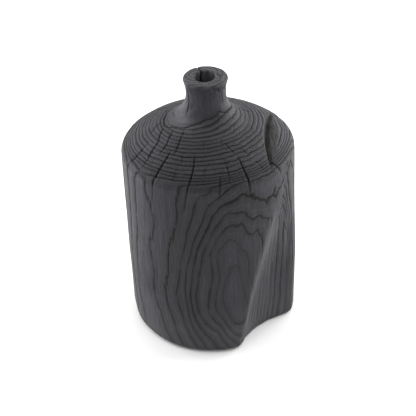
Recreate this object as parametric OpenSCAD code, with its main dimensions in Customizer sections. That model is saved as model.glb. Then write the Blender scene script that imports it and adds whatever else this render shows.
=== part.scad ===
// Charred turned-wood bud vase with a drop-in water tube.
// Origin: middle of the underside, on the surface that it stands on. +Z is up, -Y is the front.
// Sizes are in millimetres.

/* [Body] */
// Diameter at the widest part of the wall
body_d = 106; // [88:0.5:126]
// Diameter at the foot
foot_d = 104.6; // [87:0.2:125]
// Height at which the wall reaches its full width
swell_h = 50; // [40:1:72]
// Height of the edge where the wall meets the shoulder
wall_h = 124; // [104:1:148]
// Rise of the domed shoulder above that edge, if it had no neck
dome_rise = 20.5; // [17:0.5:24]
// Rounding of the edge between wall and shoulder
edge_r = 6.5; // [4:0.5:8]
// Rounding of the foot's outer edge
foot_r = 3.5; // [1:0.5:5]

/* [Neck] */
// Height of the mouth above the shoulder's edge
neck_h = 46; // [39:1:55]
// Diameter at the waist of the neck
neck_d = 24.2; // [20:0.2:29]
// Diameter of the flared lip
lip_d = 27; // [24.8:0.2:31.6]
// Distance from the waist up to the mouth
lip_h = 10.5; // [9:0.5:12.5]
// Rounding of the lip's outer edge
lip_r = 1.8; // [1:0.2:2.4]

/* [Bore and cavity] */
// Diameter of the drilled bore
bore_d = 12.8; // [10:0.2:15]
// Width of the chamfer at the mouth
mouth_chamfer = 0.7; // [0.4:0.1:1.2]
// Wood left between the cavity's crown and the dome's pole
crown_t = 22; // [18:1:27]
// Wood left between the natural hollow and the plug
plug_margin = 6.4; // [5:0.2:8]
// Width of the ledge that the plug seats on
ledge_w = 4; // [3:0.5:5]

/* [Natural hollow] */
// Radius of the hollow's scoop
hollow_r = 43; // [36:1:52]
// Depth of the hollow at the foot
hollow_bite = 13; // [11:0.5:15.5]
// Height at which the hollow runs out in the wall
hollow_h = 102; // [85:1:122]
// Bearing of the hollow at the foot, in degrees from the front towards +X
hollow_foot_turn = 43.5; // [36:0.5:52]
// Bearing of the hollow where it runs out
hollow_top_turn = 57; // [48:1:68]

/* [Bark pocket] */
// Distance of the pocket's steep side in from the widest part of the wall
pocket_in = 17.5; // [15:0.5:21]
// Length of the pocket from front to back
pocket_len = 56; // [47:1:60]
// How far the pocket's middle lies in front of the axis
pocket_fwd = 6; // [4:0.5:8]
// Slope of the pocket's floor, which rises towards the wall, in degrees
pocket_tilt = 9; // [7:0.5:11]

/* [Base plug] */
// Thickness of the plug
plug_t = 14; // [12:0.5:17]
// Clearance round the plug for the glue
glue_gap = 0.1; // [0.05:0.05:0.3]
// Depth of the dish that the tube stands in
dish_depth = 3; // [2.5:0.25:3.5]
// Chamfer on the plug's edges
plug_chamfer = 0.6; // [0.4:0.1:1]

/* [Cork foot] */
// Thickness of the cork disc
cork_t = 2; // [1.6:0.1:2.5]
// How far the cork stands below the wood
cork_proud = 0.5; // [0.4:0.1:0.8]
// How far the cork laps past the plug's seam
cork_lap = 2; // [1.5:0.5:3]
// Clearance round the cork
cork_gap = 0.3; // [0.2:0.1:0.5]

/* [Water tube] */
// Clearance round the tube in the bore
tube_clear = 0.4; // [0.3:0.05:0.5]
// Thickness of the tube's glass
tube_wall = 1; // [0.8:0.1:1.2]
// Depth of the tube's rim below the mouth
tube_recess = 12; // [10:1:15]
// Gap between the tube's round end and its dish
seat_gap = 0.3; // [0.2:0.05:0.4]

/* [Hidden] */
$fn = 128;
eps = 0.01;
arc_steps = 14;

// Wall, shoulder and neck
foot_z = cork_proud;
body_r = body_d / 2;
top_z = wall_h + neck_h;
neck_r = neck_d / 2;
waist_z = top_z - lip_h;
dome_r = (dome_rise * dome_rise + body_r * body_r) / (2 * dome_rise);
dome_z = wall_h + dome_rise - dome_r;

// The edge rounding touches the wall and the dome
edge_c = [body_r - edge_r, dome_z + sqrt(pow(dome_r - edge_r, 2) - pow(body_r - edge_r, 2))];
edge_turn = atan2(edge_c[1] - dome_z, edge_c[0]);

// The neck's cove touches the dome and stands upright at the waist
waist_up = waist_z - dome_z;
cove_r = (pow(neck_r, 2) + pow(waist_up, 2) - pow(dome_r, 2)) / (2 * (dome_r - neck_r));
cove_c = [neck_r + cove_r, waist_z];
cove_turn = atan2(waist_up, cove_c[0]);

// The flare leaves the waist upright and reaches the lip
flare_w = lip_d / 2 - neck_r;
flare_h = lip_h - lip_r;
flare_r = (pow(flare_h, 2) + pow(flare_w, 2)) / (2 * flare_w);
flare_turn = asin(flare_h / flare_r);

// Cavity, plug and cork, each fitted inside the one before
plug_hole_r = body_r - hollow_bite - plug_margin;
plug_r = plug_hole_r - glue_gap;
cavity_r = plug_hole_r - ledge_w;
cavity_top = wall_h + dome_rise - crown_t;
cork_hole_r = plug_hole_r + cork_lap;
cork_r = cork_hole_r - cork_gap;
plug_z = cork_t;
ledge_z = plug_z + plug_t;

// Water tube
tube_r = bore_d / 2 - tube_clear;
tube_in_r = tube_r - tube_wall;
dish_r = tube_r + seat_gap;
tube_z = ledge_z - dish_depth + seat_gap;
tube_top = top_z - tube_recess;

// Points on an arc about c, from angle a to angle b
function arc(c, r, a, b) =
    [for (i = [0 : arc_steps]) let (t = a + (b - a) * i / arc_steps) c + r * [cos(t), sin(t)]];

// Height of the dome at a distance from the axis
function dome_at(r) = dome_z + sqrt(pow(dome_r, 2) - pow(r, 2));

// Half section of the turned outside
function body_outline() = concat(
    [[0, foot_z]],
    arc([foot_d / 2 - foot_r, foot_z + foot_r], foot_r, -90, 0),
    [[body_r, swell_h]],
    arc(edge_c, edge_r, 0, edge_turn),
    arc([0, dome_z], dome_r, edge_turn, cove_turn),
    arc(cove_c, cove_r, cove_turn + 180, 180),
    arc([neck_r + flare_r, waist_z], flare_r, 180, 180 - flare_turn),
    arc([lip_d / 2 - lip_r, top_z - lip_r], lip_r, 0, 90),
    [[0, top_z]]
);

// Scoop that a bark seam left along the wall, from the foot to where it runs out
module natural_hollow() {
    foot_out = body_r + hollow_r - hollow_bite;
    top_out = body_r + hollow_r;
    foot_p = [foot_out * sin(hollow_foot_turn), -foot_out * cos(hollow_foot_turn), 0];
    top_p = [top_out * sin(hollow_top_turn), -top_out * cos(hollow_top_turn), hollow_h];
    run = top_p - foot_p;
    lean = atan2(norm([run[0], run[1]]), run[2]);
    bearing = atan2(run[1], run[0]);
    translate(foot_p)
        rotate([0, lean, bearing])
            translate([0, 0, -hollow_h])
                cylinder(h = 3 * hollow_h, r = hollow_r);
}

// Notch that ingrown bark left in the shoulder, steep on its inner side and open at both ends
module bark_pocket() {
    x = body_r - pocket_in;
    front_y = -pocket_fwd - pocket_len / 2;
    back_y = -pocket_fwd + pocket_len / 2;
    front_z = dome_at(norm([x, front_y]));
    back_z = dome_at(norm([x, back_y]));
    translate([x, front_y, front_z])
        rotate([atan2(back_z - front_z, pocket_len), 0, 0])
            rotate([0, -pocket_tilt, 0])
                translate([0, -pocket_len, 0])
                    cube([body_r, 3 * pocket_len, body_r]);
}

// Space turned out from below, with a round crown
module cavity() {
    translate([0, 0, ledge_z - eps])
        cylinder(h = cavity_top - cavity_r - ledge_z + eps, r = cavity_r);
    translate([0, 0, cavity_top - cavity_r])
        sphere(r = cavity_r);
}

module vase_body() {
    color("#46464c")
        difference() {
            rotate_extrude() polygon(body_outline());
            cylinder(h = top_z + 1, r = bore_d / 2);
            translate([0, 0, top_z - mouth_chamfer])
                cylinder(h = mouth_chamfer + eps, r1 = bore_d / 2, r2 = bore_d / 2 + mouth_chamfer + eps);
            cavity();
            translate([0, 0, -1])
                cylinder(h = ledge_z + 1, r = plug_hole_r);
            translate([0, 0, -1])
                cylinder(h = plug_z + 1, r = cork_hole_r);
            natural_hollow();
            bark_pocket();
        }
}

module base_plug() {
    color("#b98d5e")
        difference() {
            rotate_extrude()
                polygon([
                    [0, plug_z],
                    [plug_r - plug_chamfer, plug_z],
                    [plug_r, plug_z + plug_chamfer],
                    [plug_r, ledge_z - plug_chamfer],
                    [plug_r - plug_chamfer, ledge_z],
                    [0, ledge_z]
                ]);
            translate([0, 0, ledge_z - dish_depth + dish_r])
                sphere(r = dish_r);
        }
}

module water_tube() {
    rim_r = tube_wall / 2;
    end_c = [0, tube_z + tube_r];
    color("#cfe3e0")
        rotate_extrude()
            polygon(concat(
                arc(end_c, tube_r, -90, 0),
                arc([tube_r - rim_r, tube_top - rim_r], rim_r, 0, 180),
                arc(end_c, tube_in_r, 0, -90)
            ));
}

module cork_foot() {
    color("#c59a66")
        cylinder(h = cork_t, r = cork_r);
}

vase_body();
base_plug();
water_tube();
cork_foot();
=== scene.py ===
"""A charred bud vase turned from a log, with its base plug, cork foot and glass water tube.

Lengths are in metres. +Z is up and -Y is the front. A bearing is in degrees from the front towards +X.
"""

import math

import bpy
import numpy as np
from mathutils import Matrix, Vector, noise


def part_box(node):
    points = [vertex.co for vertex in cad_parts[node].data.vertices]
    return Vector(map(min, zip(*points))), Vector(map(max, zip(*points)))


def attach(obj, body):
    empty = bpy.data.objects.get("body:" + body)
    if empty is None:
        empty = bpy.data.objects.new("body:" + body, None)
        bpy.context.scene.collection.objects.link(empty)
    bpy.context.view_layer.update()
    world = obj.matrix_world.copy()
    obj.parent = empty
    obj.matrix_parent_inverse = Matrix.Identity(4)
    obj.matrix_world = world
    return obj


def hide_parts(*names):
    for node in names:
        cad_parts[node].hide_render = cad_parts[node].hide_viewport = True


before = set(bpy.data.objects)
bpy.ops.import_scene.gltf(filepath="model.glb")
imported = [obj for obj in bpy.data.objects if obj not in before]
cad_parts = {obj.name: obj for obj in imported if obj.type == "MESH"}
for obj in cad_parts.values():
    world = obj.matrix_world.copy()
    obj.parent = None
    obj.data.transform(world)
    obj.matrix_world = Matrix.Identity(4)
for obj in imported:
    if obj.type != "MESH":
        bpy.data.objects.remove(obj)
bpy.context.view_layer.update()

mm = 0.001

# ---------------------------------------------------------------- sizes, from the frame and the turner's own

body_low, body_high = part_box("vase_body")
plug_low, plug_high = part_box("base_plug")
cork_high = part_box("cork_foot")[1]
tube_low, tube_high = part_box("water_tube")

BODY_R = body_high.x
FOOT_Z = body_low.z
MOUTH_Z = body_high.z
GLUE_GAP = 0.1 * mm
PLUG_HOLE_R = plug_high.x + GLUE_GAP
LEDGE_W = 4 * mm
CAVITY_R = PLUG_HOLE_R - LEDGE_W
CORK_GAP = 0.3 * mm
CORK_HOLE_R = cork_high.x + CORK_GAP
TUBE_CLEARANCE = 0.4 * mm
BORE_R = tube_high.x + TUBE_CLEARANCE

FOOT_R = 52.3 * mm
FOOT_ROUND = 3.5 * mm
SWELL_Z = 50 * mm
WALL_Z = 124 * mm
DOME_RISE = 20.5 * mm
EDGE_ROUND = 6.5 * mm
NECK_R = 12.1 * mm
LIP_R = 13.5 * mm
LIP_DROP = 10.5 * mm
LIP_ROUND = 1.8 * mm
MOUTH_CHAMFER = 0.7 * mm
CROWN_T = 22 * mm

DOME_R = (DOME_RISE**2 + BODY_R**2) / (2 * DOME_RISE)
DOME_Z = WALL_Z + DOME_RISE - DOME_R
CAVITY_TOP = WALL_Z + DOME_RISE - CROWN_T

# Where the tree's pith ran, and how far apart its growth rings are
PITH = (-4.5 * mm, 2 * mm)
RING_PITCH = 2.45 * mm

# Spans of the body's section that make up the rim, and how far from the pith the ring shake opened
RIM = ("mouth", "lip", "chamfer")
SHAKE_R = 19.3 * mm

# How many sections the body is turned in, and how many of its points are worked on at a time
SEGMENTS = 480
BATCH = 20000


# ---------------------------------------------------------------- tools of the workbench


def smooth(low, high, x):
    """0 below low, 1 above high, and an even curve between."""
    t = np.clip((x - low) / (high - low), 0, 1)
    return t * t * (3 - 2 * t)


def bell(x, width):
    return np.exp(-((x / width) ** 2))


def straight(a, b, step):
    """Points from a to b about step apart, without b."""
    n = max(1, round(math.dist(a, b) / step))
    return [(a[0] + (b[0] - a[0]) * i / n, a[1] + (b[1] - a[1]) * i / n) for i in range(n)]


def sweep(centre, radius, start, end, step):
    """Points on an arc from angle start to end in degrees, about step apart, without the last."""
    n = max(1, round(radius * abs(math.radians(end - start)) / step))
    angles = [math.radians(start + (end - start) * i / n) for i in range(n)]
    return [(centre[0] + radius * math.cos(a), centre[1] + radius * math.sin(a)) for a in angles]


def turn(name, outline, segments):
    """Draws a closed outline of (radius, height) points edge by edge and spins it into a solid."""
    bpy.ops.object.select_all(action="DESELECT")
    bpy.ops.mesh.primitive_plane_add(size=mm, location=(0, 0, 0))
    piece = bpy.context.active_object
    piece.name = name
    piece.data.name = name
    bpy.ops.object.mode_set(mode="EDIT")
    bpy.ops.mesh.merge(type="CENTER")
    bpy.ops.transform.translate(value=(outline[0][0], 0, outline[0][1]))
    for a, b in zip(outline, outline[1:] + outline[:1]):
        step = (b[0] - a[0], 0, b[1] - a[1])
        bpy.ops.mesh.extrude_region_move(TRANSFORM_OT_translate={"value": step})
    bpy.ops.mesh.select_all(action="SELECT")
    bpy.ops.mesh.spin(steps=segments, angle=math.tau, center=(0, 0, 0), axis=(0, 0, 1))
    bpy.ops.mesh.select_all(action="SELECT")
    bpy.ops.mesh.remove_doubles(threshold=0.001 * mm)
    bpy.ops.mesh.select_all(action="SELECT")
    bpy.ops.mesh.delete_loose(use_verts=True, use_edges=True, use_faces=False)
    bpy.ops.mesh.select_all(action="SELECT")
    bpy.ops.mesh.normals_make_consistent(inside=False)
    bpy.ops.object.mode_set(mode="OBJECT")
    return piece


def points_of(piece, field="co"):
    values = np.empty(len(piece.data.vertices) * 3)
    piece.data.vertices.foreach_get(field, values)
    return values.reshape(-1, 3)


def move_points(piece, points):
    piece.data.vertices.foreach_set("co", points.ravel())
    piece.data.update()


def paint(piece, name, values):
    """Stores one number for each point, which the finish reads by name."""
    layer = piece.data.attributes.new(name, "FLOAT", "POINT")
    layer.data.foreach_set("value", values.astype(np.float32))


def drift(points, scale, stretch=1.0, seed=0.0):
    """Smooth noise from -1 to 1 at each point, with grains of size scale that are stretch times as tall."""
    size = Vector((1 / scale, 1 / scale, 1 / (scale * stretch)))
    shift = Vector((seed, 2.3 * seed, -1.7 * seed))
    return np.array([noise.noise(Vector(p) * size + shift) for p in points])


# ---------------------------------------------------------------- the log as it comes off the lathe


def log_outline():
    """The closed section of the turned body, as named spans of (radius, height) points."""
    inset = EDGE_ROUND
    edge = (BODY_R - inset, DOME_Z + math.sqrt((DOME_R - inset) ** 2 - (BODY_R - inset) ** 2))
    edge_turn = math.degrees(math.atan2(edge[1] - DOME_Z, edge[0]))
    waist_z = MOUTH_Z - LIP_DROP
    rise = waist_z - DOME_Z
    cove_r = (NECK_R**2 + rise**2 - DOME_R**2) / (2 * (DOME_R - NECK_R))
    cove = (NECK_R + cove_r, waist_z)
    cove_turn = math.degrees(math.atan2(rise, cove[0]))
    flare_w = LIP_R - NECK_R
    flare_h = LIP_DROP - LIP_ROUND
    flare_r = (flare_h**2 + flare_w**2) / (2 * flare_w)
    flare_turn = math.degrees(math.asin(flare_h / flare_r))
    crown_z = CAVITY_TOP - CAVITY_R
    crown_turn = math.degrees(math.acos(BORE_R / CAVITY_R))
    crown_end = (BORE_R, crown_z + CAVITY_R * math.sin(math.radians(crown_turn)))
    chamfer_z = MOUTH_Z - MOUTH_CHAMFER
    foot = (FOOT_R - FOOT_ROUND, FOOT_Z + FOOT_ROUND)
    return {
        "hole": straight((PLUG_HOLE_R, plug_low.z), (PLUG_HOLE_R, plug_high.z), 7 * mm),
        "ledge": straight((PLUG_HOLE_R, plug_high.z), (CAVITY_R, plug_high.z), 4 * mm),
        "cavity": straight((CAVITY_R, plug_high.z), (CAVITY_R, crown_z), 26 * mm)
        + sweep((0, crown_z), CAVITY_R, 0, crown_turn, 7 * mm),
        "bore": straight(crown_end, (BORE_R, chamfer_z), 4 * mm),
        "chamfer": straight((BORE_R, chamfer_z), (BORE_R + MOUTH_CHAMFER, MOUTH_Z), mm),
        "mouth": straight((BORE_R + MOUTH_CHAMFER, MOUTH_Z), (LIP_R - LIP_ROUND, MOUTH_Z), 0.7 * mm),
        "lip": sweep((LIP_R - LIP_ROUND, MOUTH_Z - LIP_ROUND), LIP_ROUND, 90, 0, 0.6 * mm),
        "neck": sweep((NECK_R + flare_r, waist_z), flare_r, 180 - flare_turn, 180, 0.9 * mm)
        + sweep(cove, cove_r, 180, 180 + cove_turn, 0.9 * mm),
        "shoulder": sweep((0, DOME_Z), DOME_R, cove_turn, edge_turn, 0.5 * mm)
        + sweep(edge, EDGE_ROUND, edge_turn, 0, 0.55 * mm),
        "wall": straight((BODY_R, edge[1]), (BODY_R, SWELL_Z), 2.1 * mm)
        + straight((BODY_R, SWELL_Z), (FOOT_R, foot[1]), 2.3 * mm),
        "foot": sweep(foot, FOOT_ROUND, 0, -90, mm)
        + straight((foot[0], FOOT_Z), (CORK_HOLE_R, FOOT_Z), 3.4 * mm),
        "recess": straight((CORK_HOLE_R, FOOT_Z), (CORK_HOLE_R, plug_low.z), 2 * mm)
        + straight((CORK_HOLE_R, plug_low.z), (PLUG_HOLE_R, plug_low.z), 2 * mm),
    }


spans = log_outline()
stations = np.array([p for span in spans.values() for p in span])
station_span = np.array([name for name, span in spans.items() for _ in span])
station_run = np.concatenate([[0], np.cumsum(np.hypot(*np.diff(stations, axis=0).T))])


def run_at(span, radius=None, height=None):
    """How far along the section a span reaches a radius or a height."""
    own = station_span == span
    if radius is not None and span == "neck":
        own &= stations[:, 1] < MOUTH_Z - LIP_DROP
    axis, value = (0, radius) if height is None else (1, height)
    order = np.argsort(stations[own][:, axis])
    return float(np.interp(value, stations[own][order][:, axis], station_run[own][order]))


def shoulder(bearing, radius):
    return (bearing, run_at("shoulder" if radius > 24 else "neck", radius=radius * mm))


def wall(bearing, height):
    return (bearing, run_at("wall", height=height * mm))


def mouth(bearing, radius):
    return (bearing, run_at("mouth", radius=radius * mm))


def neck(bearing, height):
    return (bearing, run_at("neck", height=height * mm))


def bore(bearing, height):
    return (bearing, run_at("bore", height=height * mm))


# Drying checks: strength, then the points that each runs through
CHECKS = [
    (0.80, [shoulder(-66, 40), shoulder(-64, 48), wall(-67, 121), wall(-68, 112)]),
    (0.50, [shoulder(-94, 26), shoulder(-77, 35)]),
    (0.75, [shoulder(-77, 24.2), shoulder(-59, 34), shoulder(-53, 45), shoulder(-52, 50)]),
    (0.60, [shoulder(-60, 22), shoulder(-47, 33), shoulder(-46, 40)]),
    (0.65, [shoulder(-41, 20), shoulder(-35, 29), shoulder(-32, 37)]),
    (0.90, [shoulder(-38, 35), shoulder(-38, 47), wall(-39, 121), wall(-40, 110)]),
    (1.00, [shoulder(-13, 34), shoulder(-12, 42), shoulder(-13, 49), wall(-15.5, 118), wall(-17.5, 108)]),
    (0.45, [shoulder(21, 28), shoulder(25, 37)]),
    (0.90, [shoulder(26, 38), shoulder(26, 46), wall(26, 121), wall(27.5, 112)]),
    (0.50, [shoulder(14, 38), shoulder(14, 46), shoulder(13, 51)]),
    (0.65, [shoulder(7, 47), wall(6, 118)]),
    (0.40, [shoulder(-3, 42), shoulder(-3.5, 48)]),
    (0.40, [shoulder(34, 34), shoulder(36, 40)]),
    (0.45, [shoulder(-4, 24), shoulder(-5, 31)]),
    (0.40, [shoulder(18, 24), shoulder(16, 30)]),
    (0.40, [shoulder(39, 44), shoulder(40, 50)]),
    (0.75, [shoulder(48, 46), shoulder(50, 49), wall(53, 120)]),
    (0.45, [shoulder(-25, 34), shoulder(-22, 41)]),
    (0.40, [shoulder(-25, 45), shoulder(-25, 50)]),
    (0.50, [wall(-30, 80), wall(-31, 65)]),
    (0.35, [wall(-44, 88), wall(-45, 68)]),
    (0.35, [wall(-24, 96), wall(-26, 82)]),
    (0.80, [shoulder(132, 31), shoulder(129, 47), wall(130, 117)]),
    (0.55, [shoulder(112, 20), shoulder(106, 30)]),
    (0.90, [shoulder(149, 30), shoulder(152, 46), wall(151, 119), wall(150, 101)]),
    (0.60, [shoulder(172, 24), shoulder(176, 36)]),
    (0.85, [shoulder(-158, 36), shoulder(-155, 48), wall(-156, 114)]),
    (0.55, [shoulder(-131, 31), shoulder(-127, 42)]),
    (0.45, [wall(128, 74), wall(127, 52)]),
    (0.50, [wall(-118, 92), wall(-119, 70)]),
]

# The ring shake round the foot of the neck, and the split through the neck's far side
SHAKE = [
    shoulder(-132, 30), shoulder(-107, 25.3), shoulder(-77, 24.4), shoulder(-57, 21.2), shoulder(-41, 19.4),
    shoulder(-28, 17.6), shoulder(-15, 16.6), shoulder(-3, 15.2), shoulder(12, 14.8), shoulder(33, 13.6),
    shoulder(52, 14.8), shoulder(74, 14.6), shoulder(96, 16.4),
]
CHECKS += [
    (0.80, SHAKE),
    (0.75, [shoulder(-112, 21), shoulder(-84, 19)]),
    (1.00, [bore(-160, 138), bore(-162, 155), bore(-160, 169), mouth(-160, 7.4), mouth(-158, 11),
            neck(-158, 167), neck(-156, 158), neck(-154, 149)]),
    (0.50, [mouth(-30, 7.2), mouth(-26, 9.6)]),
    (0.80, [mouth(112, 8.0), mouth(80, 8.8), mouth(45, 9.0), mouth(10, 8.8), mouth(-35, 8.2)]),
    (0.40, [mouth(60, 10.4), mouth(20, 10.6), mouth(-20, 10.2)]),
    (0.65, [neck(-62, 166), neck(-58, 158), neck(-53, 149)]),
]

# ---------------------------------------------------------------- the natural hollow and the bark pocket

HOLLOW_R = 43 * mm
HOLLOW_BITE = 13 * mm
HOLLOW_TOP = 102 * mm
HOLLOW_BEARINGS = (43.5, 57)

POCKET_X = BODY_R - 17.5 * mm
POCKET_FRONT = -34 * mm
POCKET_LENGTH = 56 * mm
POCKET_TILT = math.tan(math.radians(9))


def hollow_reach(bearing, z):
    """Distance from the vase's axis to the hollow's face, as seen along a bearing at a height."""
    share = z / HOLLOW_TOP
    ends = []
    for out, angle in zip((BODY_R + HOLLOW_R - HOLLOW_BITE, BODY_R + HOLLOW_R), HOLLOW_BEARINGS):
        ends.append(np.array([out * math.sin(math.radians(angle)), -out * math.cos(math.radians(angle))]))
    x = ends[0][0] + (ends[1][0] - ends[0][0]) * share
    y = ends[0][1] + (ends[1][1] - ends[0][1]) * share
    away = np.hypot(x, y)
    turn_off = np.radians(bearing) - np.arctan2(x, -y)
    across = away * np.sin(turn_off)
    misses = (np.abs(across) >= HOLLOW_R) | (np.cos(turn_off) < 0)
    depth = np.sqrt(np.maximum(HOLLOW_R**2 - across**2, 0))
    return np.where(misses, 2 * BODY_R, away * np.cos(turn_off) - depth), turn_off


def soft_min(a, b, blend):
    near = np.maximum(blend - np.abs(a - b), 0) / blend
    return np.minimum(a, b) - near * near * blend / 4


def dome_height(radius):
    return DOME_Z + math.sqrt(DOME_R**2 - radius**2)


def pocket_depth(points):
    """How far the bark pocket lies below the shoulder at each point."""
    x, y, z = points.T
    front = dome_height(math.hypot(POCKET_X, POCKET_FRONT))
    back = dome_height(math.hypot(POCKET_X, POCKET_FRONT + POCKET_LENGTH))
    inner = POCKET_X - 2 * mm + 0.005 / mm * (y + 14 * mm) ** 2
    across = x - inner
    floor = front + (back - front) * (y - POCKET_FRONT) / POCKET_LENGTH + across * POCKET_TILT
    below = z - floor + 2.2 * mm * bell(across, 2.5 * mm)
    return np.maximum(below, 0) * smooth(-0.2 * mm, 1.1 * mm, across)


# ---------------------------------------------------------------- the growth rings

# Dark lines of the wall's figure, as drawn: the ring, then (bearing, height in mm) along it
FIGURE = [
    (2, [(-83, 116), (-84, 60), (-82, 8)]),
    (1, [(-66, 116), (-68, 90), (-70, 62), (-71, 40), (-68, 20), (-64, 6)]),
    (0, [(-56, 116), (-58, 90), (-61, 62), (-62, 40), (-58, 18)]),
    (0, [(-44.5, 119), (-41.5, 105), (-42, 86), (-45, 76), (-45.5, 63), (-44.5, 53), (-45, 44),
         (-42, 28), (-39, 11)]),
    (1, [(-21, 119), (-22, 110), (-23, 100), (-25, 92), (-29, 80), (-31, 69), (-33, 54),
         (-34.5, 42), (-33.5, 33)]),
    (1, [(-31, 24), (-29, 13)]),
    (2, [(0, 121), (-7, 119.5), (-10, 112), (-12.5, 102), (-16, 92), (-19, 80), (-22, 66),
         (-24, 53), (-26, 42)]),
    (2, [(-24.5, 31), (-22.5, 21), (-19, 12), (-16, 5)]),
    (3, [(5.5, 119), (0, 115), (-3.4, 109), (-6.3, 100), (-10.5, 90), (-14, 78), (-17, 67),
         (-19, 52), (-19, 40)]),
    (3, [(-18, 30), (-16.5, 20), (-12.5, 12), (-9, 5)]),
    (4, [(43, 108), (36, 109), (29, 112), (25, 115), (20, 117), (14, 115), (8.8, 113), (3, 109),
         (-0.6, 102)]),
    (4, [(-5.6, 92), (-9, 83), (-12, 72), (-14.5, 57), (-16, 44), (-15.3, 33), (-13, 24),
         (-8, 15), (-3, 6)]),
    (5, [(40, 93), (36, 96), (31, 98.5), (26, 98.5), (21, 105), (16, 106), (10.5, 107),
         (6, 101.5), (1.6, 96)]),
    (5, [(-1.5, 88), (-5.6, 80), (-8, 70), (-10, 58), (-12.6, 45), (-11.5, 36), (-9.5, 28),
         (-4, 19.5), (2, 14), (5, 7)]),
    (6, [(33, 83.5), (29, 89), (23, 90), (20, 96), (15, 97), (11, 98), (7, 93.5), (2, 87),
         (-1.5, 79), (-0.5, 71)]),
    (6, [(-0.8, 59), (-3, 46), (-4.2, 39), (-3, 29), (3, 22), (6, 15), (10, 9)]),
    (7, [(24.5, 57), (24, 70), (18, 80), (15.5, 86), (11.5, 88), (7, 85), (3.8, 79), (2.5, 71),
         (4, 61), (1.3, 48)]),
    (7, [(0, 40), (2, 33), (6, 24), (10, 16), (15, 11)]),
    (8, [(16, 66), (13, 73.5), (10.6, 67), (7.5, 58), (5.6, 47), (6.5, 38), (9, 29), (13, 22)]),
    (8.6, [(14, 50), (14.5, 40)]),
    (4, [(74, 112), (76, 60), (77, 8)]),
    (3, [(83, 116), (84, 60), (86, 8), (151, 112), (149, 60), (145, 8)]),
    (2, [(91, 116), (92, 60), (94, 8), (142, 116), (140, 60), (137, 8)]),
    (1, [(99, 116), (100, 60), (102, 8), (133, 116), (131, 60), (129, 8)]),
    (0, [(107, 116), (108, 60), (110, 8), (123, 116), (121, 60), (120, 8)]),
    (-0.5, [(115, 116), (115, 60), (115, 8)]),
    (3, [(-91, 8), (-93, 60), (-96, 98), (-108, 113), (-121, 116), (-134, 111), (-142, 95),
         (-144, 50), (-142, 8)]),
    (4, [(-98, 8), (-100, 50), (-104, 82), (-112, 99), (-121, 103), (-130, 97), (-136, 78),
         (-138, 45), (-136, 8)]),
    (5, [(-104, 8), (-106, 45), (-110, 70), (-116, 84), (-122, 87), (-127, 80), (-131, 60),
         (-133, 35), (-131, 8)]),
    (6, [(-110, 8), (-112, 34), (-116, 56), (-121, 68), (-125, 56), (-127, 32), (-126, 8)]),
    (7, [(-116, 8), (-118, 26), (-120, 44), (-122, 26), (-121, 8)]),
    (2.5, [(-148, 108), (-149, 60), (-147, 8)]),
    (4, [(-174, 117), (166, 92), (161, 50), (156, 8), (-157, 90), (-155, 45), (-152, 8)]),
    (5, [(-175, 99), (175, 75), (170, 40), (166, 8), (-168, 70), (-165, 40), (-163, 8)]),
    (6, [(-175, 77), (179, 50), (175, 10), (-172, 52), (-171, 10)]),
    (7, [(-176, 52), (-178, 12)]),
]
FIGURE_BASE = 19.0
FIGURE_TOP = 121 * mm


def on_wall(bearing, z):
    """Places on the wall in millimetres. Heights count for less, as the figure is drawn out up the log."""
    angle = np.radians(bearing)
    r = BODY_R / mm
    return np.stack([r * np.sin(angle), -r * np.cos(angle), 0.6 * z / mm], axis=-1)


def round_rings(x, y):
    """Ring number in an upright log, whose inner rings lie about the pith and outer ones about the axis."""
    centred = np.minimum((np.hypot(x, y) / (56 * mm)) ** 2, 1)
    return np.hypot(x - PITH[0] * (1 - centred), y - PITH[1] * (1 - centred)) / RING_PITCH


def rings_at_wall(bearing):
    angle = np.radians(bearing)
    return round_rings(BODY_R * np.sin(angle), -BODY_R * np.cos(angle))


def figure_spline():
    """A smooth surface through the drawn lines: how far the rings at the wall differ from a round log's."""
    drawn = np.array([(b, z, level) for level, path in FIGURE for b, z in path])
    knots = on_wall(drawn[:, 0], drawn[:, 1] * mm)
    wanted = drawn[:, 2] + FIGURE_BASE - rings_at_wall(drawn[:, 0])
    n = len(knots)
    gaps = np.linalg.norm(knots[:, None] - knots[None], axis=2)
    plane = np.hstack([np.ones((n, 1)), knots])
    system = np.zeros((n + 4, n + 4))
    system[:n, :n] = gaps**3 + 20 * np.eye(n)
    system[:n, n:] = plane
    system[n:, :n] = plane.T
    weights = np.linalg.solve(system, np.concatenate([wanted, np.zeros(4)]))

    def bulge(bearing, z):
        places = on_wall(bearing, z)
        result = weights[n] + places @ weights[n + 1 :]
        for i in range(0, len(places), BATCH):
            part = slice(i, i + BATCH)
            apart = np.linalg.norm(places[part, None] - knots[None], axis=2)
            result[part] += (apart**3) @ weights[:n]
        return result

    return bulge


def ring_number(points, bearing, dent):
    """Which growth ring each point lies in. Whole numbers are the dark lines between rings.

    Inside the natural hollow the rings ran along it, so that its lines stand upright there. The tree's last
    years were lean, so that its outermost rings are narrow.
    """
    x, y, z = points.T
    whole = 1 + dent / np.hypot(x, y)
    x, y = x * whole, y * whole
    fade = np.clip((np.hypot(x, y) - 46 * mm) / (BODY_R - 46 * mm), 0, 1) ** 1.5
    bulge = figure_spline()(bearing, np.minimum(z, FIGURE_TOP))
    rings = round_rings(x, y) + bulge * np.where(z < FIGURE_TOP, 1, fade)
    rings -= 0.15 * (bearing - 30) * smooth(0.2 * mm, 3 * mm, dent)
    rings += 2 * smooth(45 * mm, 52 * mm, np.hypot(x, y))
    jagged = smooth(12, 26, bearing) * smooth(80, 60, bearing) * smooth(80 * mm, 92 * mm, z)
    rings += 0.15 * drift(points, 8 * mm, 2.5, 1.0)
    rings += (0.07 + 0.16 * jagged) * drift(points, 3.2 * mm, 1.6, 5.0)
    return rings


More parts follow.
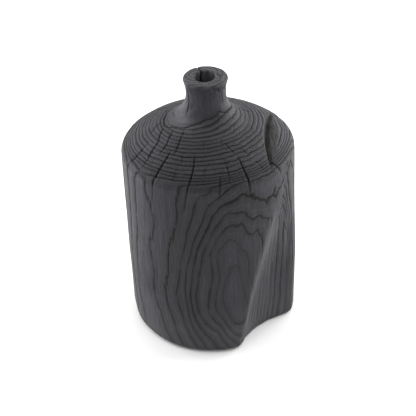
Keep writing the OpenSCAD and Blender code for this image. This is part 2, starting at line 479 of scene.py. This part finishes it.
def steepness(piece, values):
    """The fastest change of a value per millimetre along any edge that meets each point."""
    ends = np.empty(len(piece.data.edges) * 2, int)
    piece.data.edges.foreach_get("vertices", ends)
    ends = ends.reshape(-1, 2)
    points = points_of(piece)
    length = np.linalg.norm(points[ends[:, 0]] - points[ends[:, 1]], axis=1) / mm
    change = np.abs(values[ends[:, 0]] - values[ends[:, 1]]) / length
    steep = np.zeros(len(points))
    np.maximum.at(steep, ends[:, 0], change)
    np.maximum.at(steep, ends[:, 1], change)
    return steep


# ---------------------------------------------------------------- carving the body


def check_fields(bearing, run, radius):
    """Each point's nearness to a check, weighted by its strength, and that times the gap to one side."""
    nearness = np.zeros(len(run))
    side = np.zeros(len(run))
    reach = 2.6 * mm
    for strength, path in CHECKS:
        lengths = [0.0]
        for (b0, s0), (b1, s1) in zip(path, path[1:]):
            lengths.append(lengths[-1] + math.dist((b0 * 0.8 * mm, s0), (b1 * 0.8 * mm, s1)))
        for i, ((b0, s0), (b1, s1)) in enumerate(zip(path, path[1:])):
            off = (bearing - b0 + 180) % 360 - 180
            u = np.radians(off) * radius
            v = run - s0
            du = math.radians(b1 - b0) * radius
            dv = s1 - s0
            t = np.clip((u * du + v * dv) / (du**2 + dv**2 + 1e-12), 0, 1)
            length = np.hypot(du, dv) + 1e-9
            gap = np.hypot(u - t * du, v - t * dv)
            sign = np.sign(u * dv - v * du)
            along = (lengths[i] + t * (lengths[i + 1] - lengths[i])) / lengths[-1]
            taper = 0.35 + 0.65 * smooth(0, 0.18, along) * smooth(0, 0.25, 1 - along)
            near = strength * taper * bell(gap, reach)
            closer = near > nearness
            side[closer] = (sign * gap * near)[closer]
            nearness[closer] = near[closer]
    return nearness, side


def nearest_stations(radius, height):
    """Which point of the section each point of the body was turned from."""
    nearest = np.empty(len(radius), int)
    for i in range(0, len(radius), BATCH):
        part = slice(i, i + BATCH)
        gaps = (radius[part, None] - stations[:, 0]) ** 2 + (height[part, None] - stations[:, 1]) ** 2
        nearest[part] = np.argmin(gaps, axis=1)
    return nearest


def from_pith(points):
    return np.hypot(points[:, 0] - PITH[0], points[:, 1] - PITH[1])


class Log:
    """The turned body, and what is known of each of its points."""

    def __init__(self):
        self.piece = turn("vase_body", [tuple(p) for p in stations], SEGMENTS)
        self.points = points_of(self.piece)
        self.radius = np.hypot(self.points[:, 0], self.points[:, 1])
        self.bearing = np.degrees(np.arctan2(self.points[:, 0], -self.points[:, 1]))
        nearest = nearest_stations(self.radius, self.height)
        self.run = station_run[nearest]
        self.span = station_span[nearest]
        self.outer = self.on("wall", "foot") & (self.radius > CORK_HOLE_R + 0.2 * mm)

    @property
    def height(self):
        return self.points[:, 2]

    def on(self, *spans):
        """Which points lie on these spans of the section."""
        return np.isin(self.span, spans)

    def settle(self):
        """Moves the piece's own points to where the cuts so far put them."""
        move_points(self.piece, self.points)
        self.radius = np.hypot(self.points[:, 0], self.points[:, 1])


def cut_hollow(log):
    """The natural hollow, soft on its right flank and firmer along its left ridge."""
    reach, log.hollow_turn = hollow_reach(log.bearing, log.height)
    reach = reach + 0.5 * mm * drift(log.points, 5 * mm, 8.0, 3.0)
    ridge_blend = 2.6 * mm + 3.4 * mm * smooth(95 * mm, 50 * mm, log.height)
    blend = np.where(log.hollow_turn < 0, ridge_blend, 6 * mm)
    foot = log.on("foot")
    turned_edge = np.where(foot, FOOT_R, log.radius)
    log.dent = np.where(log.outer, turned_edge - soft_min(turned_edge, reach, blend), 0)
    share = np.where(foot, (log.radius - CORK_HOLE_R) / (FOOT_R - CORK_HOLE_R), 1)
    shrink = 1 - log.dent * np.clip(share, 0, 1) / log.radius
    log.points[:, :2] *= shrink[:, None]


def wear_and_offset(log):
    """The foot is rubbed on the left, the wall swells on the right, and the lip was turned off the bore."""
    left = smooth(-20, -60, log.bearing) * smooth(-170, -120, log.bearing)
    rubbed = 0.9 * mm * left * smooth(14 * mm, 0, log.height) * log.outer
    log.points[:, :2] *= (1 - rubbed / log.radius)[:, None]
    lip = smooth(148 * mm, 160 * mm, log.height) * smooth(7.2 * mm, 9 * mm, log.radius)
    log.points[:, 0] += 0.35 * mm * lip
    right = smooth(60, 85, log.bearing) * smooth(140, 110, log.bearing)
    swell = 0.45 * mm * bell(log.height - 50 * mm, 30 * mm) * right * log.outer
    log.points[:, :2] *= (1 + swell / log.radius)[:, None]
    front = smooth(-50, -20, log.bearing) * smooth(125, 95, log.bearing)
    step = log.on("mouth") * smooth(8.9 * mm, 8.3 * mm, log.radius) * front
    log.points[:, 2] -= 0.45 * mm * step


def sink_pocket(log):
    """The pocket of ingrown bark in the shoulder."""
    top = log.on("shoulder") & (log.points[:, 0] > POCKET_X - 3 * mm) & (log.radius < BODY_R)
    sunk = np.where(top, pocket_depth(log.points), 0)
    log.points[:, 2] -= sunk
    log.bark = smooth(0.1 * mm, 1.0 * mm, sunk)


def line_widths(log):
    """Width of the dark lines at each point, in rings. They are boldest in the figure's arch."""
    arch = bell(np.hypot((log.bearing - 18) / 26, (log.height - 98 * mm) / (22 * mm)), 1.0)
    widest_on_top = 0.15 + 0.08 * smooth(45 * mm, 49 * mm, log.radius)
    widest = np.where(log.upward, widest_on_top, 0.26 + 0.06 * arch)
    half_width = np.where(log.upward, 0.95, 1.5 + 0.8 * arch)
    return np.clip(half_width * log.slope, 0.02, widest)


def cut_grain(log):
    """Sinks the rings' lines and the checks into the skin, which brushing leaves uneven."""
    points = log.points
    log.rings = ring_number(points, log.bearing, log.dent)
    log.slope = steepness(log.piece, log.rings)
    log.shaken = from_pith(points) > SHAKE_R
    log.upward = log.on("shoulder") & log.shaken
    log.line_width = line_widths(log)
    wander = 0.35 * mm * drift(points, 2.2 * mm, 2.0, 15.0) + 0.5 * mm * drift(points, 6 * mm, 2.0, 19.0)
    bearing = log.bearing + np.degrees(wander / log.radius)
    log.check_near, log.check_side = check_fields(bearing, log.run + wander, log.radius)
    from_check = np.abs(log.check_side) / np.maximum(log.check_near, 1e-6)

    line = bell((log.rings - np.round(log.rings)) / log.line_width, 1.0)
    groove = np.where(log.upward, 0.30, 0.10) * mm * line * (1 - log.bark)
    groove += np.where(log.upward, 0.9, 0.7) * mm * log.check_near * bell(from_check, 0.45 * mm)
    rough = np.where(log.on("neck", *RIM), 0.03, 0.11) * ~log.on("bore")
    groove += rough * mm * drift(points, 1.6 * mm, 9.0, 7.0)
    groove += 0.22 * mm * drift(points, 24 * mm, 1.5, 11.0) * log.outer
    sound_bore = log.on("bore") & (log.check_near < 0.2)
    brushed = (log.on("wall", "shoulder", "neck", "bore", *RIM) | log.outer) & ~sound_bore
    groove = np.where(brushed, groove, 0)
    log.points = points - points_of(log.piece, "normal") * groove[:, None]
    move_points(log.piece, log.points)


def ridge_facet(log):
    """How strongly each point belongs to the pale facet along the hollow's left ridge."""
    z = log.height
    width = 1.5 * mm + 3.6 * mm * smooth(94 * mm, 72 * mm, z) - 1.2 * mm * smooth(50 * mm, 20 * mm, z)
    flank = smooth(0.05 * mm, 1.3 * mm, log.dent) * smooth(1.3 * width, 0.5 * width, log.dent)
    ends = smooth(2 * mm, 26 * mm, z) * smooth(106 * mm, 88 * mm, z)
    return flank * smooth(0.1, -0.1, log.hollow_turn) * ends


def calm_parts(log, ridge, low):
    """Where the lines are quiet: the figure's eye, the hollow, the foot, the rim and the neck."""
    z = log.height
    eye = np.hypot((log.bearing - 16) / 11, (z - 50 * mm) / (26 * mm))
    face = smooth(0.8 * mm, 2.4 * mm, log.dent) * smooth(60, 50, log.bearing) * smooth(78 * mm, 55 * mm, z)
    quiet = np.maximum.reduce([0.65 * bell(eye, 1.0), 0.8 * ridge, 0.6 * face, 0.4 * low])
    neck = 0.9 - 0.5 * smooth(15.5 * mm, 18.5 * mm, from_pith(log.points))
    return np.where(log.shaken, quiet, np.where(log.on(*RIM), 0.3, neck))


def wear_and_painted_light_parts(log, ridge, low):
    """Where the surface is paler: wear from hands on the rim, wear with a painted highlight on the hollow's
    ridge and the left shoulder edge, painted light in the bore's mouth, a painted reflection on the front of
    the neck's cove, and painted bounce light low on the wall.
    """
    left = smooth(-36, -50, log.bearing) * smooth(-100, -80, log.bearing)
    # Wear with a painted highlight along the left shoulder edge.
    edge = bell(log.height - 120.5 * mm, 1.5 * mm) * left
    # Painted light in the bore's mouth, which lies in shade.
    bore_mouth = log.on("bore") * smooth(140 * mm, 160 * mm, log.height)
    front = smooth(-75, -40, log.bearing) * smooth(50, 20, log.bearing)
    # Painted reflection on the front of the neck's cove.
    cove = log.on("neck") * smooth(150 * mm, 145 * mm, log.height) * front
    rim = log.on(*RIM)
    # Paler with wear on the rim, wear and a painted highlight on the ridge and edge, painted light in the
    # bore and cove, and painted bounce light low down.
    wear_and_painted_light = 0.7 * ridge + 0.7 * edge + 0.95 * rim + 1.7 * bore_mouth + 0.8 * cove + 0.9 * low
    return np.clip(wear_and_painted_light, 0, 1.7)


def painted_shade_parts(log):
    """Where painted shade darkens the surface: the front, which faces away from the side lamps, darkest on
    the wall's dense lines, and the neck's left, with a darker patch on the shoulder.
    """
    neck = log.on("neck")
    top_front = smooth(-62, -30, log.bearing) * smooth(90, 50, log.bearing)
    wall_front = smooth(-50, -22, log.bearing) * smooth(62, 34, log.bearing)
    on_lines = 0.65 + 0.35 * smooth(0.07, 0.14, log.slope)
    # Painted shade on the front of the top and of the wall.
    front_shade = np.where(log.upward, 0.9 * top_front, on_lines * wall_front) * np.where(neck, 0.5, 1)
    patch = np.hypot((log.bearing + 45) / 10, (log.radius - 47.5 * mm) / (3 * mm))
    dark_patches = bell(patch, 1.0) * log.upward
    # Painted shade on the neck's left side.
    dark_patches += 1.2 * bell(log.bearing + 47, 11) * neck * smooth(146 * mm, 152 * mm, log.height)
    return front_shade + 0.6 * dark_patches


def paint_log(log):
    """Stores what the finish needs to know."""
    ridge = ridge_facet(log)
    # The lower wall: lightened as painted bounce light from the floor, and its lines kept quieter.
    low = smooth(42 * mm, 4 * mm, log.height) * log.outer
    paint(log.piece, "ring", log.rings)
    paint(log.piece, "check_near", log.check_near)
    paint(log.piece, "check_side", log.check_side / mm)
    paint(log.piece, "end_grain", log.on("shoulder", "mouth", "lip"))
    paint(log.piece, "line_width", log.line_width)
    paint(log.piece, "calm", calm_parts(log, ridge, low))
    paint(log.piece, "bark", log.bark)
    # Rubbed wear together with painted highlights, a painted reflection and painted bounce light.
    paint(log.piece, "wear_and_painted_light", wear_and_painted_light_parts(log, ridge, low))
    # Painted shade on the front and the neck's left, and a darker shoulder patch.
    paint(log.piece, "painted_shade", painted_shade_parts(log))
    paint(log.piece, "bare", log.on("hole", "ledge", "cavity", "recess"))


def carve_body():
    log = Log()
    cut_hollow(log)
    wear_and_offset(log)
    sink_pocket(log)
    log.settle()
    cut_grain(log)
    paint_log(log)
    bpy.ops.object.shade_smooth_by_angle(angle=math.radians(60))
    return log.piece


# ---------------------------------------------------------------- finishes


class Shader:
    """A short hand for wiring shader nodes."""

    def __init__(self, tree):
        self.tree = tree

    def add(self, kind, values=None, **settings):
        node = self.tree.nodes.new(kind)
        for key, value in settings.items():
            setattr(node, key, value)
        for key, value in (values or {}).items():
            self.put(node.inputs[key], value)
        return node

    def put(self, socket, value):
        if isinstance(value, bpy.types.NodeSocket):
            self.tree.links.new(value, socket)
        else:
            socket.default_value = value

    def maths(self, operation, a, b=0.0, c=0.0):
        node = self.add("ShaderNodeMath", operation=operation)
        for socket, value in zip(node.inputs, (a, b, c)):
            self.put(socket, value)
        return node.outputs[0]

    def between(self, value, low, high, out_low=0.0, out_high=1.0):
        node = self.add("ShaderNodeMapRange", interpolation_type="SMOOTHSTEP")
        for name, v in (
            ("Value", value), ("From Min", low), ("From Max", high), ("To Min", out_low), ("To Max", out_high)
        ):
            self.put(node.inputs[name], v)
        return node.outputs["Result"]

    def mix(self, share, a, b, blend="MIX"):
        node = self.add("ShaderNodeMix", data_type="RGBA", blend_type=blend)
        self.put(node.inputs["Factor"], share)
        self.put(node.inputs[6], a)
        self.put(node.inputs[7], b)
        return node.outputs[2]

    def read(self, name):
        return self.add("ShaderNodeAttribute", attribute_name=name).outputs["Fac"]

    def noise(self, vector, scale, detail=2.0, rough=0.5):
        node = self.add("ShaderNodeTexNoise", {"Scale": scale, "Detail": detail, "Roughness": rough})
        self.put(node.inputs["Vector"], vector)
        return node.outputs["Fac"]

    def stretched(self, vector, size):
        node = self.add("ShaderNodeMapping")
        node.inputs["Scale"].default_value = size
        self.put(node.inputs["Vector"], vector)
        return node.outputs["Vector"]


def new_group(name, inputs, outputs):
    """An empty shader group with number sockets. Returns it, its Shader, its inputs and its output node."""
    group = bpy.data.node_groups.new(name, "ShaderNodeTree")
    for label, kind, value in inputs:
        socket = group.interface.new_socket(label, in_out="INPUT", socket_type=kind)
        if value is not None:
            socket.default_value = value
    for label in outputs:
        group.interface.new_socket(label, in_out="OUTPUT", socket_type="NodeSocketFloat")
    s = Shader(group)
    return group, s, s.add("NodeGroupInput").outputs, s.add("NodeGroupOutput").inputs


def growth_ring_group():
    """Dark lines between growth rings. No two rings have quite the same line, and fibres fray their edges."""
    group, s, given, made = new_group(
        "growth_rings",
        [
            ("Ring", "NodeSocketFloat", 0.0),
            ("Place", "NodeSocketVector", None),
            ("Width", "NodeSocketFloat", 0.1),
            ("Fray", "NodeSocketFloat", 0.1),
        ],
        ["Line", "Shade"],
    )
    long_way = s.stretched(given["Place"], (1.0, 1.0, 0.14))
    fray = s.maths("SUBTRACT", s.noise(long_way, 950.0, 3.0, 0.6), 0.5)
    ring = s.maths("ADD", given["Ring"], s.maths("MULTIPLY", fray, given["Fray"]))
    nearest = s.maths("ROUND", ring)
    past = s.maths("SUBTRACT", ring, nearest)
    gap = s.maths("ABSOLUTE", past)
    own = s.add("ShaderNodeTexWhiteNoise", noise_dimensions="1D")
    s.put(own.inputs["W"], nearest)
    own_width = s.maths("MULTIPLY_ADD", own.outputs["Value"], 0.6, 0.75)
    breaks = s.between(s.noise(given["Place"], 85.0, 3.0), 0.25, 0.50, 0.65, 1.0)
    width = s.maths("MULTIPLY", given["Width"], s.maths("MULTIPLY", own_width, breaks))
    share = s.maths("DIVIDE", gap, width)
    strength = s.maths("MULTIPLY", s.maths("MULTIPLY_ADD", own.outputs["Value"], 0.2, 0.8), breaks)
    s.put(made["Line"], s.maths("MULTIPLY", s.between(share, 0.2, 1.0, 1.0, 0.0), strength))
    wide_side = s.between(past, -0.02, 0.02, 1.6, 1.0)
    soft_share = s.maths("MULTIPLY", share, wide_side)
    s.put(made["Shade"], s.maths("MULTIPLY", s.between(soft_share, 0.5, 3.6, 1.0, 0.0), strength))
    return group


def ray_group():
    """Short cracks that run outwards from the middle of the end grain."""
    group, s, given, made = new_group(
        "wood_rays", [("Place", "NodeSocketVector", None), ("Amount", "NodeSocketFloat", 0.1)], ["Ray"]
    )
    apart = s.add("ShaderNodeSeparateXYZ")
    s.put(apart.inputs[0], given["Place"])
    x, y = apart.outputs["X"], apart.outputs["Y"]
    turn_round = s.maths("ARCTAN2", x, s.maths("MULTIPLY", y, -1.0))
    out = s.maths("SQRT", s.maths("ADD", s.maths("MULTIPLY", x, x), s.maths("MULTIPLY", y, y)))
    polar = s.add("ShaderNodeCombineXYZ")
    s.put(polar.inputs[0], s.maths("MULTIPLY", turn_round, 42.0))
    s.put(polar.inputs[1], s.maths("MULTIPLY", out, 330.0))
    low = s.maths("SUBTRACT", 0.66, given["Amount"])
    ray = s.maths("SUBTRACT", s.noise(polar.outputs[0], 1.0, 2.0), low)
    s.put(made["Ray"], s.between(ray, 0.0, 0.07))
    return group


def fibre_group():
    """Streaks that run up the log, and the pores between them."""
    group, s, given, made = new_group(
        "wood_fibre",
        [
            ("Place", "NodeSocketVector", None),
            ("Scale", "NodeSocketFloat", 1.0),
        ],
        ["Streak", "Pore"],
    )
    long_way = s.stretched(given["Place"], (1.0, 1.0, 0.06))
    streak = s.noise(long_way, s.maths("MULTIPLY", given["Scale"], 700.0), 4.0, 0.6)
    fine = s.noise(long_way, s.maths("MULTIPLY", given["Scale"], 2300.0), 2.0)
    s.put(made["Streak"], s.maths("ADD", s.maths("MULTIPLY", streak, 0.6), s.maths("MULTIPLY", fine, 0.4)))
    short_way = s.stretched(given["Place"], (1.0, 1.0, 0.16))
    pores = s.noise(short_way, s.maths("MULTIPLY", given["Scale"], 1500.0), 1.0)
    s.put(made["Pore"], s.between(pores, 0.58, 0.72))
    return group


def use_group(s, group, values):
    node = s.add("ShaderNodeGroup")
    node.node_tree = group
    for key, value in values.items():
        s.put(node.inputs[key], value)
    return node.outputs


def new_finish(name):
    material = bpy.data.materials.new(name)
    material.use_nodes = True
    material.node_tree.nodes.clear()
    s = Shader(material.node_tree)
    shader = s.add("ShaderNodeBsdfPrincipled")
    out = s.add("ShaderNodeOutputMaterial")
    s.put(out.inputs["Surface"], shader.outputs[0])
    place = s.add("ShaderNodeTexCoord").outputs["Object"]
    return material, s, shader, place


growth_rings = growth_ring_group()
wood_rays = ray_group()
wood_fibre = fibre_group()


def charred_wood():
    """Burnt and brushed wood: soft rings lie lower and darker, their lines deepened with painted shade, and
    edges that hands touch are paler, with painted highlights, a painted reflection and painted bounce light
    added.
    """
    material, s, shader, place = new_finish("charred_wood")
    end_grain = s.read("end_grain")
    loud = s.maths("SUBTRACT", 1.0, s.maths("MAXIMUM", s.read("calm"), s.read("bark")))
    ring = s.read("ring")
    rings = use_group(s, growth_rings, {
        "Ring": ring, "Place": place, "Width": s.read("line_width"), "Fray": 0.3,
    })
    fine_rings = use_group(s, growth_rings, {
        "Ring": s.maths("MULTIPLY", ring, 3.0), "Place": place, "Width": 0.26, "Fray": 1.1,
    })
    fibre = use_group(s, wood_fibre, {"Place": place, "Scale": 1.0})
    ray = use_group(s, wood_rays, {"Place": place, "Amount": 0.075})["Ray"]
    ray = s.maths("MULTIPLY", ray, s.maths("MULTIPLY", end_grain, loud))
    near = s.read("check_near")
    gap = s.maths("DIVIDE", s.maths("ABSOLUTE", s.read("check_side")), s.maths("MAXIMUM", near, 0.02))
    width = s.maths("MAXIMUM", s.maths("MULTIPLY", near, 0.62), 0.01)
    in_check = s.between(s.maths("DIVIDE", gap, width), 0.35, 1.0, 1.0, 0.0)
    in_check = s.maths("MULTIPLY", in_check, s.between(near, 0.1, 0.3))

    line = s.maths("MULTIPLY", rings["Line"], loud)
    shade = s.maths("MULTIPLY", rings["Shade"], loud)
    fine_line = s.maths("MULTIPLY", fine_rings["Line"], loud)
    pore = s.maths("MULTIPLY", fibre["Pore"], s.maths("MULTIPLY_ADD", loud, 0.7, 0.3))
    cloud = s.noise(place, 30.0, 3.0)
    tone = s.maths("ADD", s.maths("MULTIPLY", fibre["Streak"], 0.75), s.maths("MULTIPLY", cloud, 0.25))
    colour = s.mix(s.between(tone, 0.36, 0.64), (0.016, 0.0154, 0.0225, 1), (0.0325, 0.0310, 0.0450, 1))
    # Painted shade: darkens the front and the neck's left, and a patch on the shoulder.
    colour = s.mix(s.maths("MULTIPLY", s.read("painted_shade"), 0.7), colour, (0.010, 0.0098, 0.0130, 1))
    colour = s.mix(s.maths("MULTIPLY", pore, 0.7), colour, (0.008, 0.008, 0.010, 1))
    # Paler with rubbed wear, and with painted highlights, a painted reflection and painted bounce light.
    colour = s.mix(s.maths("MULTIPLY", s.read("wear_and_painted_light"), 0.55), colour, (0.072, 0.072, 0.078, 1))
    colour = s.mix(s.maths("MULTIPLY", shade, 0.82), colour, (0.006, 0.006, 0.008, 1))
    colour = s.mix(s.maths("MULTIPLY", fine_line, 0.42), colour, (0.006, 0.006, 0.008, 1))
    colour = s.mix(s.maths("MULTIPLY", ray, 0.75), colour, (0.007, 0.007, 0.008, 1))
    # Ring lines painted near black: partly the grain's own dark, partly painted shade in their grooves.
    colour = s.mix(s.maths("MULTIPLY", line, 0.9), colour, (0.0025, 0.0025, 0.003, 1))
    flake = s.between(s.noise(s.stretched(place, (1.0, 0.25, 0.5)), 620.0, 4.0, 0.65), 0.35, 0.65)
    crust = s.mix(flake, (0.006, 0.006, 0.005, 1), (0.030, 0.029, 0.026, 1))
    colour = s.mix(s.maths("MULTIPLY", s.read("bark"), 0.85), colour, crust)
    colour = s.mix(in_check, colour, (0.0015, 0.0015, 0.0015, 1))
    raw = s.mix(s.between(fibre["Streak"], 0.3, 0.7), (0.30, 0.17, 0.085, 1), (0.45, 0.28, 0.15, 1))
    s.put(shader.inputs["Base Color"], s.mix(s.read("bare"), colour, raw))
    rough = s.between(tone, 0.3, 0.7, 0.66, 0.52)
    s.put(shader.inputs["Roughness"], s.maths("MAXIMUM", rough, s.maths("MULTIPLY", line, 0.95)))
    shader.inputs["Specular IOR Level"].default_value = 0.35

    height = s.maths("MULTIPLY", tone, 0.6)
    height = s.maths("ADD", height, s.maths("MULTIPLY", flake, s.maths("MULTIPLY", s.read("bark"), 1.2)))
    depths = ((line, 1.0), (shade, 0.25), (fine_line, 0.35), (ray, 0.5), (in_check, 1.4), (pore, 0.4))
    for effect, depth in depths:
        height = s.maths("SUBTRACT", height, s.maths("MULTIPLY", effect, depth))
    height = s.maths("MULTIPLY", height, s.maths("MULTIPLY_ADD", end_grain, 0.5, 0.7))
    bump = s.add("ShaderNodeBump", {"Strength": 0.9, "Distance": 0.4 * mm})
    s.put(bump.inputs["Height"], height)
    s.put(shader.inputs["Normal"], bump.outputs[0])
    return material


def bare_wood():
    """Turned, unfinished wood, with its grain across the disc."""
    material, s, shader, place = new_finish("bare_wood")
    lying = s.add("ShaderNodeMapping")
    lying.inputs["Rotation"].default_value = (math.radians(90), 0, math.radians(20))
    s.put(lying.inputs["Vector"], place)
    across = lying.outputs["Vector"]
    fibre = use_group(s, wood_fibre, {"Place": across, "Scale": 0.8})
    apart = s.add("ShaderNodeSeparateXYZ")
    s.put(apart.inputs[0], across)
    lines = use_group(s, growth_rings, {
        "Ring": s.maths("MULTIPLY", apart.outputs["X"], 350.0),
        "Place": across,
        "Width": 0.2,
        "Fray": 1.2,
    })
    colour = s.mix(s.between(fibre["Streak"], 0.3, 0.7), (0.40, 0.25, 0.13, 1), (0.58, 0.41, 0.24, 1))
    colour = s.mix(s.maths("MULTIPLY", lines["Line"], 0.5), colour, (0.28, 0.15, 0.07, 1))
    s.put(shader.inputs["Base Color"], colour)
    s.put(shader.inputs["Roughness"], s.between(fibre["Streak"], 0.3, 0.7, 0.5, 0.65))
    bump = s.add("ShaderNodeBump", {"Strength": 0.5, "Distance": 0.1 * mm})
    sunk = s.maths("MULTIPLY", lines["Line"], 0.5)
    s.put(bump.inputs["Height"], s.maths("SUBTRACT", fibre["Streak"], sunk))
    s.put(shader.inputs["Normal"], bump.outputs[0])
    return material


def cork():
    """Pressed granules with dark seams and specks."""
    material, s, shader, place = new_finish("cork")
    grains = s.add("ShaderNodeTexVoronoi", {"Scale": 480.0})
    s.put(grains.inputs["Vector"], place)
    seams = s.add("ShaderNodeTexVoronoi", {"Scale": 480.0}, feature="DISTANCE_TO_EDGE")
    s.put(seams.inputs["Vector"], place)
    seam = s.between(seams.outputs["Distance"], 0.0, 0.09, 1.0, 0.0)
    speck = s.between(s.noise(place, 900.0, 2.0), 0.62, 0.7)
    tint = s.add("ShaderNodeSeparateColor")
    s.put(tint.inputs[0], grains.outputs["Color"])
    colour = s.mix(tint.outputs[0], (0.33, 0.18, 0.08, 1), (0.56, 0.36, 0.19, 1))
    colour = s.mix(s.maths("MULTIPLY", seam, 0.7), colour, (0.13, 0.065, 0.03, 1))
    colour = s.mix(speck, colour, (0.09, 0.045, 0.02, 1))
    s.put(shader.inputs["Base Color"], colour)
    s.put(shader.inputs["Roughness"], s.between(seam, 0.0, 1.0, 0.8, 0.95))
    bump = s.add("ShaderNodeBump", {"Strength": 0.7, "Distance": 0.15 * mm})
    s.put(bump.inputs["Height"], s.maths("SUBTRACT", tint.outputs[0], s.maths("ADD", seam, speck)))
    s.put(shader.inputs["Normal"], bump.outputs[0])
    return material


def tube_glass():
    """Clear glass with a faint green body and the haze of handling."""
    material, s, shader, place = new_finish("tube_glass")
    haze = s.noise(place, 160.0, 4.0, 0.6)
    colour = s.mix(s.between(haze, 0.3, 0.7), (0.78, 0.93, 0.88, 1), (0.86, 0.97, 0.94, 1))
    s.put(shader.inputs["Base Color"], colour)
    s.put(shader.inputs["Roughness"], s.between(haze, 0.45, 0.75, 0.01, 0.09))
    shader.inputs["Transmission Weight"].default_value = 1.0
    shader.inputs["IOR"].default_value = 1.47
    return material


# ---------------------------------------------------------------- the pieces


def finish_piece(piece, material, body, node):
    piece.data.materials.clear()
    piece.data.materials.append(material)
    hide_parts(node)
    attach(piece, body)


def turn_plug():
    """A disc with eased edges, tool rings on its top and a dish for the tube's round end."""
    r = plug_high.x
    low, high = plug_low.z, plug_high.z
    ease = 0.6 * mm
    dish_gap = 0.3 * mm
    dish_r = tube_high.x + dish_gap
    dish_depth = 3 * mm
    dish_z = high - dish_depth + dish_r
    dish_turn = math.degrees(math.acos((dish_r - dish_depth) / dish_r))
    outline = [(0, low), *straight((8 * mm, low), (r - ease, low), 8 * mm)]
    outline += [(r - ease, low), (r, low + ease), (r, high - ease), (r - ease, high)]
    rings = 7
    inner = dish_r * math.sin(math.radians(dish_turn)) + 1.5 * mm
    pitch = (r - ease - 1.5 * mm - inner) / rings
    for i in range(rings):
        edge = r - ease - 1.5 * mm - i * pitch
        outline += [(edge, high), (edge - 0.3 * mm, high - 0.12 * mm), (edge - 0.6 * mm, high)]
    outline += sweep((0, dish_z), dish_r, -90 + dish_turn, -90, 0.8 * mm)
    outline += [(0, high - dish_depth)]
    piece = turn("base_plug", outline, 160)
    bpy.ops.object.shade_smooth_by_angle(angle=math.radians(25))
    return piece


def blow_tube():
    """A glass tube with a round end and a fire-polished rim."""
    r = tube_high.x
    glass = 1 * mm
    end = (0, tube_low.z + r)
    rim = (r - glass / 2, tube_high.z - glass / 2)
    outline = sweep(end, r, -90, 0, mm)
    outline += straight((r, end[1]), (r, rim[1]), 12 * mm)
    outline += sweep(rim, glass / 2, 0, 180, 0.2 * mm)
    outline += straight((r - glass, rim[1]), (r - glass, end[1]), 12 * mm)
    outline += sweep(end, r - glass, 0, -90, mm)
    outline += [(0, tube_low.z + glass)]
    piece = turn("water_tube", outline, 72)
    bpy.ops.object.shade_smooth()
    return piece


def cut_cork():
    """A disc of sheet cork with a slightly ragged edge and a pitted underside."""
    r, top = cork_high.x, cork_high.z
    ease = 0.3 * mm
    outline = [(0, 0), *straight((1.5 * mm, 0), (r - ease, 0), 1.5 * mm), (r - ease, 0), (r, ease)]
    outline += [(r, top / 2), (r, top - ease), (r - ease, top)]
    outline += straight((r - 4 * mm, top), (0, top), 8 * mm)
    outline += [(0, top)]
    piece = turn("cork_foot", outline, 180)
    points = points_of(piece)
    radius = np.hypot(points[:, 0], points[:, 1])
    pit = np.maximum(drift(points, 1.1 * mm, 1.0, 2.0), 0) * 0.12 * mm
    under = points[:, 2] < 0.1 * mm
    points[:, 2] += np.where(under & (radius < r - mm), pit, 0)
    ragged = 1 - np.maximum(drift(points, 1.4 * mm, 1.0, 4.0), 0) * 0.15 * mm / np.maximum(radius, mm)
    points[:, :2] *= np.where(radius > r - 0.5 * mm, ragged, 1)[:, None]
    move_points(piece, points)
    bpy.ops.object.shade_smooth_by_angle(angle=math.radians(35))
    return piece


vase = carve_body()
finish_piece(vase, charred_wood(), "vase", "vase_body")
finish_piece(turn_plug(), bare_wood(), "vase", "base_plug")
finish_piece(cut_cork(), cork(), "vase", "cork_foot")
finish_piece(blow_tube(), tube_glass(), "tube", "water_tube")

# ---------------------------------------------------------------- the studio


def studio_floor():
    bpy.ops.object.select_all(action="DESELECT")
    bpy.ops.mesh.primitive_plane_add(size=8, location=(0, 0, 0))
    floor = bpy.context.active_object
    floor.name = "floor"
    material, s, shader, place = new_finish("floor_paper")
    tooth = s.noise(place, 60.0, 2.0)
    s.put(shader.inputs["Base Color"], s.mix(tooth, (0.885, 0.885, 0.88, 1), (0.915, 0.915, 0.91, 1)))
    shader.inputs["Roughness"].default_value = 0.9
    floor.data.materials.append(material)


def soft_light(name, place, aim, size, power):
    data = bpy.data.lights.new(name, "AREA")
    data.shape = "RECTANGLE"
    data.size, data.size_y = size
    data.energy = power
    lamp = bpy.data.objects.new(name, data)
    bpy.context.scene.collection.objects.link(lamp)
    lamp.location = place
    lamp.rotation_euler = (Vector(aim) - Vector(place)).to_track_quat("-Z", "Y").to_euler()


def studio():
    studio_floor()
    middle = (0, 0, 0.08)
    soft_light("left_softbox", (-1.0, 0.4, 0.5), middle, (1.0, 1.0), 13.5)
    soft_light("right_softbox", (1.0, 0.45, 0.5), middle, (1.0, 1.0), 19)
    soft_light("back_softbox", (0, 1.1, 1.2), middle, (1.6, 0.9), 10.5)
    soft_light("top_softbox", (0, -0.3, 1.6), middle, (1.0, 1.0), 6)
    world = bpy.data.worlds.new("studio")
    bpy.context.scene.world = world
    world.use_nodes = True
    sky = world.node_tree.nodes["Background"]
    sky.inputs["Color"].default_value = (1, 1, 1, 1)
    sky.inputs["Strength"].default_value = 0.7
    bpy.context.scene.view_settings.view_transform = "Standard"


def camera():
    data = bpy.data.cameras.new("camera")
    data.lens = 112.5
    data.sensor_width = 36
    data.clip_end = 50
    eye = bpy.data.objects.new("camera", data)
    bpy.context.scene.collection.objects.link(eye)
    place = Vector((0, -0.6753, 0.542))
    aim = Vector((-0.0016, 0, 0.0752))
    lean = math.radians(-2.63)
    look = (aim - place).to_track_quat("-Z", "Y").to_matrix().to_4x4()
    eye.matrix_world = Matrix.Translation(place) @ look @ Matrix.Rotation(lean, 4, "Z")
    bpy.context.scene.camera = eye


studio()
camera()
